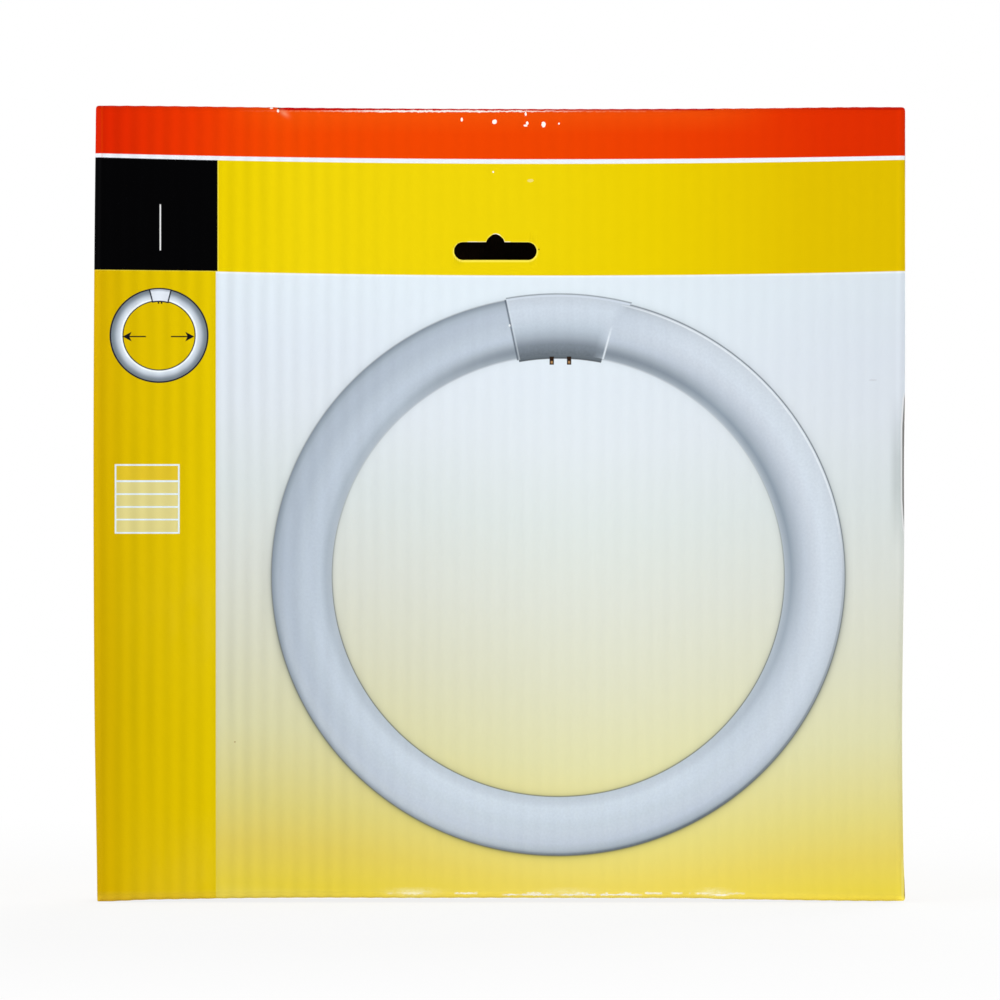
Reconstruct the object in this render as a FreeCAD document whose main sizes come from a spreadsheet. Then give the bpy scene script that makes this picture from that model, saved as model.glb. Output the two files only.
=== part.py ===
"""A flat retail carton for a ring lamp: one sheet of corrugated board, printed, folded and glued shut.

X runs across the front, Y from the front panel (-Y) to the back panel, Z up from the base pads.
The front panel carries the outer top and bottom flaps, which close over the back panel's inner flaps,
and those close over the dust flaps of the two sides. The dust flaps are short, so the outer flaps dip
between them. A glue flap on the right side holds the back panel, and a hang slot is cut in the front.
"""

import FreeCAD, Part
import os
from collections import namedtuple

import Sketcher
from FreeCAD import Vector

NODE = "carton"
NEAR = 0.001

# A sketch seen from the front has its normal towards the front, and a plan sketch has it upwards
BACKWARDS, FORWARDS, UPWARDS = False, True, True

# Driving sizes in millimetres and degrees: name, value, what it is
SIZES = [
    ("carton_width", 317.5, "across the front, from corner to corner"),
    ("carton_height", 312.0, "over the outer flaps at the corners"),
    ("carton_depth", 38.0, "front face to back face"),
    ("board_thickness", 3.0, "B flute board with its liners"),
    ("crease_radius", 3.2, "outside radius of a fold"),
    ("left_bulge", 1.3, "how far the left side swells at half height"),
    ("pad_length", 14.0, "flat end of an outer flap, next to its corner"),
    ("end_dip", 0.7, "fall of an outer flap from its pad to the end of the dust flap"),
    ("flap_step", 0.36, "fall of an outer flap where the dust flap under it ends"),
    ("step_run", 4.0, "length of that step"),
    ("middle_dip", 0.35, "sag of an outer flap between the two steps"),
    ("dust_flap_left", 71.6, "length of the left dust flaps"),
    ("dust_flap_right", 75.7, "length of the right dust flaps"),
    ("front_stub", 0.4, "front panel's corner, from its fold to the ends of the flaps"),
    ("inner_end_gap", 0.4, "end of an inner flap to the fold of the side below it"),
    ("outer_end_gap", 0.8, "end of an outer flap to the end of the inner flap under it"),
    ("free_edge_gap", 0.8, "free edge of an outer flap to the fold of the back panel"),
    ("joint_gap", 0.4, "raw edge of the back panel to the fold of the right side"),
    ("glue_flap_width", 30.0, "glue flap inside the back panel"),
    ("glue_flap_root", 5.0, "straight part of the glue flap next to its fold"),
    ("glue_flap_taper", 12.0, "slant of the glue flap at each end"),
    ("slot_length", 32.4, "hang slot, end to end"),
    ("slot_height", 7.0, "hang slot, without its hump"),
    ("slot_offset", -2.2, "hang slot from the middle of the carton"),
    ("slot_drop", 57.1, "middle of the hang slot below the top"),
    ("hump_height", 3.1, "top of the hump over the slot's top edge"),
    ("hump_radius", 2.0, "round top of the hump"),
    ("hump_flank", 49.0, "slope of the hump's two flanks"),
    ("score_width", 0.4, "cut line round the back slot's chip, which is still in place"),
    ("score_depth", 1.2, "depth of that cut line"),
]


def size(name):
    """The expression that reads one driving size."""
    return f"sizes.{name}"


WIDTH, HEIGHT, DEPTH = size("carton_width"), size("carton_height"), size("carton_depth")
BOARD, CREASE, BULGE = size("board_thickness"), size("crease_radius"), size("left_bulge")

# Half of the bulge lies each side of the straight carton's left side, which keeps it centred on X = 0
LEFT = f"(({BULGE} - {WIDTH}) / 2)"
RIGHT = f"(({BULGE} + {WIDTH}) / 2)"

# The front panel's folds and corners, and the strip along the back that the outer flaps leave free
FRONT_STRIP = f"({CREASE} + {size('front_stub')})"
BACK_STRIP = f"({CREASE} + {size('free_edge_gap')})"

# A corner of an outline. With a radius, an arc leads to the next corner, and hollow says that it
# curves into the outline.
Corner = namedtuple("Corner", "x z radius hollow", defaults=(None, False))


def make_sheet(doc):
    sheet = doc.addObject("Spreadsheet::Sheet", "sizes")
    for row, (name, value, meaning) in enumerate(SIZES, start=1):
        sheet.set(f"A{row}", name)
        sheet.set(f"B{row}", str(value))
        sheet.set(f"C{row}", meaning)
        sheet.setAlias(f"B{row}", name)
    doc.recompute()


def new_sketch(body, name, role, offset="0"):
    """A sketch on one of the body's own planes, moved along that plane's normal."""
    plane = next(f for f in body.Origin.OriginFeatures if f.Role == role)
    sketch = body.newObject("Sketcher::SketchObject", name)
    sketch.AttachmentSupport = [(plane, "")]
    sketch.MapMode = "FlatFace"
    sketch.setExpression("AttachmentOffset.Base.z", offset)
    return sketch


def front_view_sketch(body, name, behind_front):
    """A sketch seen from the front, a given way behind the front face."""
    return new_sketch(body, name, "XZ_Plane", f"{DEPTH} / 2 - ({behind_front})")


def arc_between(start, end, radius, hollow):
    """The shorter arc from start to end, on the right of that way, or on the left if it is hollow."""
    chord = end - start
    rise = radius - max(radius**2 - chord.Length**2 / 4, 0) ** 0.5
    outward = Vector(chord.y, -chord.x, 0).normalize()
    middle = (start + end) * 0.5 + outward * (-rise if hollow else rise)
    return Part.Arc(start, middle, end)


def draw_loop(sketch, corners):
    """Draws a closed outline, anticlockwise, and ties every corner and radius to its expression."""
    places = []
    for corner in corners:
        places.append(Vector(sketch.evalExpression(corner.x), sketch.evalExpression(corner.z), 0))
    curves = []
    for index, corner in enumerate(corners):
        start, end = places[index], places[(index + 1) % len(places)]
        if corner.radius is None:
            curves.append(Part.LineSegment(start, end))
        else:
            radius = sketch.evalExpression(corner.radius)
            curves.append(arc_between(start, end, radius, corner.hollow))
    edges = sketch.addGeometry(curves)
    for index, corner in enumerate(corners):
        edge, after = edges[index], edges[(index + 1) % len(edges)]
        first, last = point_order(sketch, edge, places[index])
        joined = point_order(sketch, after, places[(index + 1) % len(places)])[0]
        sketch.addConstraint(Sketcher.Constraint("Coincident", edge, last, after, joined))
        tie(sketch, Sketcher.Constraint("DistanceX", -1, 1, edge, first, places[index].x), corner.x)
        tie(sketch, Sketcher.Constraint("DistanceY", -1, 1, edge, first, places[index].y), corner.z)
        if corner.radius is not None:
            radius = sketch.evalExpression(corner.radius)
            tie(sketch, Sketcher.Constraint("Radius", edge, radius), corner.radius)


def point_order(sketch, edge, start):
    """The numbers of an edge's start and end points, which an arc can hold the other way round."""
    to_first = sketch.getPoint(edge, 1).distanceToPoint(start)
    to_second = sketch.getPoint(edge, 2).distanceToPoint(start)
    return (1, 2) if to_first < to_second else (2, 1)


def tie(sketch, constraint, expression):
    index = sketch.addConstraint(constraint)
    sketch.setExpression(f"Constraints[{index}]", expression)


def extrude(body, kind, name, sketch, length, along_normal):
    """A pad or pocket from a sketch, along its normal or against it."""
    feature = body.newObject(f"PartDesign::{kind}", name)
    feature.Profile = sketch
    feature.setExpression("Length", length)
    feature.Reversed = along_normal == (kind == "Pocket")
    feature.Refine = True


def level(end, inset):
    """Z at a distance in from the top or the bottom of the carton."""
    if end == "top":
        return f"({HEIGHT} - ({inset}))"
    return f"({inset})"


def left_side(near_corner, inset):
    """The bulging left side from the top down, three quarters swollen at a quarter of its height.

    near_corner is how far from the top and the bottom it starts and ends.
    """
    swell = [(near_corner, f"3 * {BULGE} * {near_corner} / {HEIGHT}"), (f"{HEIGHT} / 4", f"0.75 * {BULGE}")]
    points = [Corner(f"{LEFT} - {out} + {inset}", level("top", down)) for down, out in swell]
    points.append(Corner(f"{LEFT} - {BULGE} + {inset}", f"{HEIGHT} / 2"))
    points += [Corner(f"{LEFT} - {out} + {inset}", level("bottom", up)) for up, out in reversed(swell)]
    return points


def flap_line(end, first_x, last_x, inset, dust_inset="0"):
    """A flap from left to right along the carton's top or bottom: pads, dips, steps and sag.

    dust_inset is the extra way in where the line runs under the dust flaps.
    """
    over_dust = f"{inset} + {dust_inset}"
    left_step = f"({LEFT} + {size('dust_flap_left')})"
    right_step = f"({RIGHT} - {size('dust_flap_right')})"
    half_run = f"{size('step_run')} / 2"
    dip = size("end_dip")
    low = f"{inset} + {dip} + {size('flap_step')}"
    line = [
        Corner(first_x, level(end, over_dust)),
        Corner(f"{LEFT} + {size('pad_length')}", level(end, over_dust)),
        Corner(f"{left_step} - {half_run}", level(end, f"{over_dust} + {dip}")),
        Corner(f"{left_step} + {half_run}", level(end, low)),
        Corner(f"({left_step} + {right_step}) / 2", level(end, f"{low} + {size('middle_dip')}")),
        Corner(f"{right_step} - {half_run}", level(end, low)),
        Corner(f"{right_step} + {half_run}", level(end, f"{over_dust} + {dip}")),
        Corner(f"{RIGHT} - {size('pad_length')}", level(end, over_dust)),
        Corner(last_x, level(end, over_dust)),
    ]
    if dust_inset != "0":
        line.insert(3, Corner(f"{left_step} - {half_run}", level(end, f"{inset} + {dip}")))
        line.insert(7, Corner(f"{right_step} + {half_run}", level(end, f"{inset} + {dip}")))
    return line


def front_outline():
    """The carton seen from the front: four square corners, a bulging left side, dipping flaps."""
    bottom = flap_line("bottom", LEFT, RIGHT, "0")
    top = flap_line("top", LEFT, RIGHT, "0")[::-1]
    return bottom + top + left_side("0", "0")[1:-1]


def flap_end_notch(side, end):
    """What is missing past the ends of an outer flap and the inner flap under it, at one corner."""
    corner_x, way, out = (LEFT, "+", "-") if side == "left" else (RIGHT, "-", "+")
    inner_end = f"{corner_x} {way} ({CREASE} + {size('inner_end_gap')})"
    outer_end = f"{inner_end} {way} {size('outer_end_gap')}"
    outside_x, outside_z = f"{corner_x} {out} {BOARD}", level(end, f"-{BOARD}")
    notch = [
        Corner(outer_end, outside_z),
        Corner(outer_end, level(end, BOARD)),
        Corner(inner_end, level(end, BOARD)),
        Corner(inner_end, level(end, f"2 * {BOARD}")),
        Corner(outside_x, level(end, f"2 * {BOARD}")),
        Corner(outside_x, outside_z),
    ]
    clockwise = (side, end) in (("left", "top"), ("right", "bottom"))
    return notch[::-1] if clockwise else notch


def free_edge_rebate(end):
    """What is missing past the free edge of an outer flap, down to the back panel's fold."""
    first_x, last_x = f"{LEFT} - {BOARD}", f"{RIGHT} + {BOARD}"
    outside_z = level(end, f"-{BOARD}")
    rebate = flap_line(end, first_x, last_x, BOARD)
    rebate += [Corner(last_x, outside_z), Corner(first_x, outside_z)]
    return rebate[::-1] if end == "bottom" else rebate


def hollow_outline():
    """The inside of the carton, with the ends of the dust flaps."""
    side = left_side(f"(3 * {BOARD})", BOARD)
    right_x = f"{RIGHT} - {BOARD}"
    bottom = flap_line("bottom", side[-1].x, right_x, f"2 * {BOARD}", BOARD)
    top = flap_line("top", side[0].x, right_x, f"2 * {BOARD}", BOARD)[::-1]
    return bottom + top + side[1:-1]


def pad_closed_carton(body):
    sketch = front_view_sketch(body, "front_outline", "0")
    draw_loop(sketch, front_outline())
    extrude(body, "Pad", "closed_carton", sketch, DEPTH, BACKWARDS)


def cut_flap_ends(body):
    """Both ends of all the flaps, behind the front panel. On the right the cut also clears the glued
    joint, and on the left the back panel keeps its corners."""
    lengths = {
        "left": f"{DEPTH} - {FRONT_STRIP} - {BACK_STRIP}",
        "right": f"{DEPTH} - {FRONT_STRIP}",
    }
    for side, length in lengths.items():
        sketch = front_view_sketch(body, f"{side}_notches", FRONT_STRIP)
        for end in ("bottom", "top"):
            draw_loop(sketch, flap_end_notch(side, end))
        extrude(body, "Pocket", f"{side}_flap_ends", sketch, length, BACKWARDS)


def cut_free_edges(body):
    """The outer flaps stop short of the back face, and the back panel's folds show beside them."""
    sketch = front_view_sketch(body, "free_edge_rebates", f"{DEPTH} - {BACK_STRIP}")
    for end in ("bottom", "top"):
        draw_loop(sketch, free_edge_rebate(end))
    extrude(body, "Pocket", "free_edges", sketch, BACK_STRIP, BACKWARDS)


def round_folds(doc, body, name, wanted):
    """Rounds the last feature's edges for which wanted(middle of the edge) is true."""
    doc.recompute()
    base = body.Tip
    names = []
    for number, edge in enumerate(base.Shape.Edges, start=1):
        middle = edge.valueAt((edge.FirstParameter + edge.LastParameter) / 2)
        if wanted(middle):
            names.append(f"Edge{number}")
    fillet = body.newObject("PartDesign::Fillet", name)
    fillet.Base = (base, names)
    fillet.setExpression("Radius", CREASE)


def round_dust_folds(doc, body):
    """The folds of the four dust flaps, which the flaps over them leave open at their ends."""
    levels = [body.evalExpression(level(end, f"2 * {BOARD}")) for end in ("bottom", "top")]
    left_x, right_x = body.evalExpression(LEFT), body.evalExpression(RIGHT)

    def on_dust_fold(place):
        beside = place.x < left_x or place.x > right_x - NEAR
        return beside and min(abs(place.z - z) for z in levels) < NEAR

    round_folds(doc, body, "dust_folds", on_dust_fold)


def round_front_folds(doc, body):
    """All four folds of the front panel."""
    front_y = -body.evalExpression(f"{DEPTH} / 2")
    round_folds(doc, body, "front_folds", lambda place: abs(place.y - front_y) < NEAR)


def round_back_folds(doc, body):
    """The back panel's folds with the left side and with its own two flaps."""
    back_y = body.evalExpression(f"{DEPTH} / 2")
    right_end = body.evalExpression(f"{RIGHT} - {CREASE} - {size('inner_end_gap')}")
    round_folds(
        doc, body, "back_folds", lambda place: abs(place.y - back_y) < NEAR and place.x < right_end - NEAR
    )


def cut_glued_joint(body):
    """The right side's fold under the back panel, whose raw edge stops beside it."""
    back = f"({DEPTH} / 2)"
    lap = f"({back} - {BOARD})"
    raw_edge = f"{RIGHT} - {CREASE} - {size('joint_gap')}"
    outside_x, outside_y = f"{RIGHT} + {BOARD}", f"{back} + {BOARD}"
    sketch = new_sketch(body, "joint_outline", "XY_Plane")
    draw_loop(
        sketch,
        [
            Corner(raw_edge, lap),
            Corner(f"{RIGHT} - {CREASE}", lap, CREASE, True),
            Corner(RIGHT, f"{lap} - {CREASE}"),
            Corner(outside_x, f"{lap} - {CREASE}"),
            Corner(outside_x, outside_y),
            Corner(raw_edge, outside_y),
        ],
    )
    extrude(body, "Pocket", "glued_joint", sketch, HEIGHT, UPWARDS)


def cut_hollow(body):
    """The space inside, one board in from the front, the sides and the back."""
    sketch = front_view_sketch(body, "hollow_outline", BOARD)
    draw_loop(sketch, hollow_outline())
    extrude(body, "Pocket", "hollow", sketch, f"{DEPTH} - 2 * {BOARD}", BACKWARDS)


def add_glue_flap(body):
    """The right side's glue flap, slanted at its ends, against the inside of the back panel."""
    root_x = f"{RIGHT} - {BOARD}"
    straight_x = f"{root_x} - {size('glue_flap_root')}"
    tip_x = f"{root_x} - {size('glue_flap_width')}"
    root_inset = f"3 * {BOARD}"
    tip_inset = f"{root_inset} + {size('glue_flap_taper')}"
    sketch = front_view_sketch(body, "glue_flap_outline", f"{DEPTH} - 2 * {BOARD}")
    draw_loop(
        sketch,
        [
            Corner(tip_x, level("bottom", tip_inset)),
            Corner(straight_x, level("bottom", root_inset)),
            Corner(root_x, level("bottom", root_inset)),
            Corner(root_x, level("top", root_inset)),
            Corner(straight_x, level("top", root_inset)),
            Corner(tip_x, level("top", tip_inset)),
        ],
    )
    extrude(body, "Pad", "glue_flap", sketch, BOARD, BACKWARDS)


def slot_outline(grown="0"):
    """The hang slot with its round hump, grown outwards all round."""
    middle_x = f"(({LEFT} + {RIGHT}) / 2 + {size('slot_offset')})"
    middle_z = f"({HEIGHT} - {size('slot_drop')})"
    end_radius = f"({size('slot_height')} / 2 + {grown})"
    reach = f"({size('slot_length')} / 2 + {grown})"
    straight = f"({reach} - {end_radius})"
    hump_radius = f"({size('hump_radius')} + {grown})"
    hump_rise = f"({size('slot_height')} / 2 + {size('hump_height')} - {size('hump_radius')})"
    flank = f"({size('hump_flank')} * 1deg)"
    round_x = f"{hump_radius} * sin({flank})"
    round_z = f"({hump_rise} + {hump_radius} * cos({flank}))"
    foot_x = f"({round_x} + ({round_z} - {end_radius}) / tan({flank}))"
    return [
        Corner(f"{middle_x} - {straight}", f"{middle_z} - {end_radius}"),
        Corner(f"{middle_x} + {straight}", f"{middle_z} - {end_radius}", end_radius),
        Corner(f"{middle_x} + {reach}", middle_z, end_radius),
        Corner(f"{middle_x} + {straight}", f"{middle_z} + {end_radius}"),
        Corner(f"{middle_x} + {foot_x}", f"{middle_z} + {end_radius}"),
        Corner(f"{middle_x} + {round_x}", f"{middle_z} + {round_z}", hump_radius),
        Corner(f"{middle_x} - {round_x}", f"{middle_z} + {round_z}"),
        Corner(f"{middle_x} - {foot_x}", f"{middle_z} + {end_radius}"),
        Corner(f"{middle_x} - {straight}", f"{middle_z} + {end_radius}", end_radius),
        Corner(f"{middle_x} - {reach}", middle_z, end_radius),
    ]


def cut_hang_slot(body):
    """The open slot through the front panel, into the hollow."""
    sketch = front_view_sketch(body, "slot_outline", "0")
    draw_loop(sketch, slot_outline())
    extrude(body, "Pocket", "hang_slot", sketch, f"1.5 * {BOARD}", BACKWARDS)


def score_back_slot(body):
    """The same slot on the back panel, cut part of the way in, so its chip is still in place."""
    sketch = front_view_sketch(body, "score_outline", DEPTH)
    draw_loop(sketch, slot_outline())
    draw_loop(sketch, slot_outline(size("score_width")))
    extrude(body, "Pocket", "back_score", sketch, size("score_depth"), FORWARDS)


def build_carton(doc):
    body = doc.addObject("PartDesign::Body", NODE)
    body.Label = NODE
    pad_closed_carton(body)
    cut_flap_ends(body)
    cut_free_edges(body)
    round_dust_folds(doc, body)
    round_front_folds(doc, body)
    round_back_folds(doc, body)
    cut_glued_joint(body)
    cut_hollow(body)
    add_glue_flap(body)
    cut_hang_slot(body)
    score_back_slot(body)
    return body


def check_document(doc, body):
    """Stops the script if any object failed or the carton isn't one sound solid."""
    for item in doc.Objects:
        if "Invalid" in item.State or "Error" in item.State:
            raise RuntimeError(f"{item.Name} failed: {item.getStatusString()}")
    shape = body.Shape
    if shape.isNull() or not shape.isValid() or len(shape.Solids) != 1:
        raise RuntimeError(f"{body.Label} is not one valid solid")
    features = [item for item in body.Group if item.isDerivedFrom("PartDesign::Feature")]
    for before, after in zip(features, features[1:]):
        if abs(after.Shape.Volume - before.Shape.Volume) < 1:
            raise RuntimeError(f"{after.Name} changed nothing")


def main():
    doc = FreeCAD.newDocument(NODE)
    make_sheet(doc)
    body = build_carton(doc)
    doc.recompute()
    check_document(doc, body)
    os.makedirs("parts", exist_ok=True)
    body.Shape.exportStep(f"parts/{NODE}.step")


main()
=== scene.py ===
"""A flat retail carton for a ring lamp, in printed corrugated board, on a plain white floor."""

import math

import bmesh
import bpy
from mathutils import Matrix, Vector


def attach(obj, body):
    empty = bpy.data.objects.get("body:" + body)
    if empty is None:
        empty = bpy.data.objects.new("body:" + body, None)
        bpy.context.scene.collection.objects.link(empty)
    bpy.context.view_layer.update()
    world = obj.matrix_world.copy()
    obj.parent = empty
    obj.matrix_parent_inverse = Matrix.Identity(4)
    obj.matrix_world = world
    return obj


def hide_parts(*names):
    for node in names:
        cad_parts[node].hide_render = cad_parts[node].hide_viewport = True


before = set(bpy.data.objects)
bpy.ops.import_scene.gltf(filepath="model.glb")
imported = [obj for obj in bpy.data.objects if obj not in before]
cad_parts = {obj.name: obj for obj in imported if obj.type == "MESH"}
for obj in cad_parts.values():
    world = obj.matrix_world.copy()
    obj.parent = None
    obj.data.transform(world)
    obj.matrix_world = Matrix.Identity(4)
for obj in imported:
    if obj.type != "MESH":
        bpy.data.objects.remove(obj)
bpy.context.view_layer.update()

# Sizes in millimetres, as in the part's source
MM = 0.001
WIDTH, HEIGHT, DEPTH = 317.5, 312.0, 38.0
BOARD, CREASE, BULGE = 3.0, 3.2, 1.3
LEFT, RIGHT = (BULGE - WIDTH) / 2, (BULGE + WIDTH) / 2
FRONT, BACK = -DEPTH / 2, DEPTH / 2
FOLD_BACK = FRONT + CREASE
FLAP_PLAY, END_PLAY = 0.8, 1.2
FLAP_EDGE = BACK - CREASE - FLAP_PLAY
OUTER_FLAP = (LEFT + CREASE + END_PLAY, RIGHT - CREASE - END_PLAY)

# The hang slot has round ends and a hump over its middle, whose flanks swell out
SLOT_X, SLOT_Z = -1.55, 254.9
SLOT_LONG, SLOT_TALL = 32.4, 7.0
HUMP_TALL, HUMP_REACH, HUMP_SWELL = 3.1, 5.5, 0.55

# The outer flaps are flat at their ends, sink over the dust flaps, step down where those end, and sag.
# The solid has this in straight runs: each of their points has its x and its depth.
LEFT_STEP, RIGHT_STEP = LEFT + 71.6, RIGHT - 75.7
STEP_HALF = 2.0
FLAT_END, SOLID_FLAT_END = 10.0, 14.0
OVER_DUST, STEP_DOWN, SAG = 0.7, 0.36, 0.35
SOLID_RUNS = [
    (LEFT + SOLID_FLAT_END, 0),
    (LEFT_STEP - STEP_HALF, OVER_DUST),
    (LEFT_STEP + STEP_HALF, OVER_DUST + STEP_DOWN),
    ((LEFT_STEP + RIGHT_STEP) / 2, OVER_DUST + STEP_DOWN + SAG),
    (RIGHT_STEP - STEP_HALF, OVER_DUST + STEP_DOWN),
    (RIGHT_STEP + STEP_HALF, OVER_DUST),
    (RIGHT - SOLID_FLAT_END, 0),
]

# The photographed outline, where it departs from the solid's
WIDEST_Z = 166.0
HOLLOW, HOLLOW_Z = 1.2, 66.0
DENT, DENT_Z, DENT_REACH = 0.4, 172.0, 22.0
TOP_MIDDLE_LIFT, TOP_INNER_LIFT, TOP_TILT = 0.3, 0.2, 0.4
LOW_LEFT_LIFT, LOW_RIGHT_LIFT, LOW_LEFT_TRIM = 0.68, 0.18, 0.24

# The front's corners, each with its x, its z and the radius that wear has given it
CORNERS = [(LEFT, HEIGHT, 1.3), (RIGHT, HEIGHT, 1.7), (LEFT, 0.0, 0.5), (RIGHT, 0.0, 1.3)]
CORNER_REACH = 5.0

# Board: each flute under the liner is cut into eight steps
PITCH = 6.35
SHARES = 8
RELIEF = 0.05

# The open edges: liners, the wave between them, the gap at which it is glued, and the flutes' depth
LINER, MEDIUM = 0.35, 0.3
GLUED = 0.295
FLUTE_DEPTH = 5.0

# Material slots of the carton's mesh. The front's print is in four parts, by where a face is.
HEAD, COLUMN, PANEL, RING, WRAPPED, RAW, INSIDE = range(7)
HEAD_FOOT = 244.0
COLUMN_SIDE = -110.4
RING_LEFT, RING_RIGHT, RING_FOOT = -93.0, 139.0, 12.0

# Places of the print on the front. A printed line has its lowest height and its bend.
PRINT_LEFT, PRINT_WIDE = -159.0, 318.0
LINE_LOW_X = 19.9
HEADER_FOOT, WHITE_FOOT, BAND_FOOT = (291.2, 7.4e-5), (289.42, 8.2e-5), (245.57, 9.2e-5)
PANEL_LEFT = -111.15
RING_X, RING_Z, RING_SQUASH = 23.1, 127.8, 1.025
RING_INNER, RING_OUTER = 88.9, 112.3
SMALL_X, SMALL_Z, SMALL_SQUASH = -133.45, 222.1, 1.043
SMALL_INNER, SMALL_OUTER = 14.2, 19.25

# Shades through a drawn shape, each with its place from 0 to 1
PANEL_SHADES = [
    (0.0, (224, 235, 244)), (0.12, (221, 230, 240)), (0.213, (220, 228, 236)), (0.338, (215, 223, 224)),
    (0.464, (214, 218, 211)), (0.589, (213, 214, 193)), (0.715, (214, 212, 169)), (0.84, (217, 206, 124)),
    (0.903, (221, 202, 95)), (0.966, (225, 205, 68)), (1.0, (229, 212, 88)),
]
# Painted light in the yellow: painted shade darkens it towards the left and right sides, and a painted
# sheen makes it brightest a little left of the middle
YELLOW_INK_AND_SHEEN = [
    (0.0, (209, 170, 0)), (0.045, (217, 184, 0)), (0.14, (224, 195, 1)), (0.16, (231, 204, 2)),
    (0.26, (235, 209, 8)), (0.53, (234, 208, 8)), (0.69, (231, 203, 1)), (0.8, (226, 195, 1)),
    (0.88, (221, 188, 0)), (1.0, (219, 186, 0)),
]
# Painted light in the header's orange: painted shade darkens it towards both ends, and a painted sheen
# makes it brightest left of the middle
HEADER_INK_AND_SHEEN = [
    (0.0, (214, 34, 0)), (0.12, (230, 52, 0)), (0.23, (238, 70, 0)), (0.44, (236, 68, 0)),
    (0.58, (233, 66, 0)), (0.7, (232, 61, 0)), (0.8, (227, 55, 0)), (0.9, (220, 46, 0)),
    (1.0, (216, 44, 0)),
]
# Painted light in the wrapped yellow: darker at the ends and brighter in the middle, as on the front
WRAPPED_INK_AND_SHEEN = [(0.0, (212, 175, 0)), (0.5, (228, 199, 3)), (1.0, (219, 186, 0))]
TUBE_LOW_SHADES = [
    (0.0, (190, 202, 214)), (0.1, (198, 209, 222)), (0.2, (209, 221, 234)), (0.35, (207, 219, 233)),
    (0.5, (201, 213, 226)), (0.65, (200, 211, 225)), (0.8, (193, 204, 220)), (0.92, (168, 180, 194)),
    (1.0, (112, 122, 132)),
]
TUBE_RIGHT_SHADES = [
    (0.0, (176, 186, 196)), (0.04, (162, 173, 184)), (0.11, (140, 153, 166)), (0.2, (165, 176, 188)),
    (0.35, (190, 200, 212)), (0.5, (205, 214, 225)), (0.65, (213, 223, 234)), (0.8, (211, 221, 231)),
    (1.0, (205, 214, 224)),
]
TUBE_LEFT_SHADES = [
    (0.0, (176, 186, 196)), (0.1, (172, 184, 196)), (0.2, (187, 199, 212)), (0.35, (191, 203, 217)),
    (0.5, (186, 198, 211)), (0.65, (177, 189, 203)), (0.8, (176, 188, 202)), (0.9, (170, 182, 195)),
    (0.97, (146, 158, 170)), (1.0, (132, 143, 156)),
]
CAP_SHADES = [
    (0.0, (96, 104, 112)), (0.08, (110, 119, 128)), (0.18, (124, 134, 144)), (0.24, (142, 152, 163)),
    (0.31, (162, 173, 185)), (0.42, (182, 194, 206)), (0.52, (194, 206, 218)), (0.65, (203, 214, 226)),
    (0.8, (207, 218, 230)), (1.0, (198, 208, 219)),
]
SMALL_TUBE_SHADES = [
    (0.0, (246, 254, 254)), (0.12, (244, 252, 253)), (0.2, (219, 228, 239)), (0.4, (195, 206, 217)),
    (0.52, (174, 184, 195)), (0.6, (151, 162, 175)), (0.74, (125, 136, 144)), (1.0, (106, 116, 124)),
]

# Small marks of wear, each with its x, its z, its half width and its half height
CHIPS = [
    (-14.75, 306.7, 0.45, 0.75), (-1.9, 305.95, 0.85, 0.95), (10.35, 308.9, 0.4, 0.75),
    (10.9, 305.3, 0.5, 0.7), (10.3, 304.4, 0.75, 0.4), (17.35, 304.85, 0.85, 1.15),
    (23.4, 305.2, 0.35, 0.4), (-2.4, 286.2, 0.35, 0.35), (-89.4, 311.3, 0.6, 0.35),
    (-86.8, 310.2, 0.5, 0.6),
]
DARK_SPECKS = [(-86.4, 311.3, 0.5, 0.4), (15.5, 255.85, 0.3, 0.3)]
PALE_SPOT = (12.2, 282.8, 1.2, 0.6)
GREY_SPOT = (146.5, 204.6, 1.6, 0.35)
BROWN_SPECK = (-103.7, 62.7, 0.3, 0.3)
CAP_GLINT = (4.0, 226.0, 0.4, 0.5)

# Camera: 2.55 pixels to the millimetre at the front face, level with the middle of the carton
PICTURE_WIDE = 1000
PIXELS_PER_MM = 2.55
DISTANCE = 3000.0
SENSOR = 36.0
VIEW_X, VIEW_Z = 0.26, 157.57

# Floor and lamps, in metres and watts. Each lamp has its name, its place, its side and its power.
FLOOR_HALF, FLOOR_DROP = 6.0, 0.0004
SKY_STRENGTH = 0.46
LAMPS = [
    ("left_lamp", (-2.9, -2.3, 1.1), 2.0, 70),
    ("right_lamp", (2.4, -2.8, 0.9), 2.0, 36),
    ("top_lamp", (0.0, 0.2, 1.8), 1.2, 2),
    ("back_lamp", (0.9, 2.8, 1.1), 2.0, 55),
]


def smooth(share):
    """An even change from 0 to 1 that starts and ends gently."""
    share = min(max(share, 0.0), 1.0)
    return share * share * (3 - 2 * share)


def flap_dip(x):
    """How far an outer flap has sunk at x: flat ends, dust flaps under it, a low middle."""
    dip = OVER_DUST
    if x < LEFT_STEP:
        dip *= smooth((x - LEFT - FLAT_END) / (LEFT_STEP - LEFT - FLAT_END))
    if x > RIGHT_STEP:
        dip *= smooth((RIGHT - FLAT_END - x) / (RIGHT - FLAT_END - RIGHT_STEP))
    across = (x - LEFT_STEP) / (RIGHT_STEP - LEFT_STEP)
    sag = 4 * across * (1 - across) if 0 < across < 1 else 0
    return dip + STEP_DOWN * middle_share(x) + SAG * sag


def past_left_step(x):
    """0 over the left dust flap and 1 past its end, with a step between them."""
    return smooth((x - LEFT_STEP + STEP_HALF) / (2 * STEP_HALF))


def middle_share(x):
    """1 between the ends of the dust flaps, 0 outside, with a step at each."""
    return past_left_step(x) * smooth((RIGHT_STEP + STEP_HALF - x) / (2 * STEP_HALF))


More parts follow.
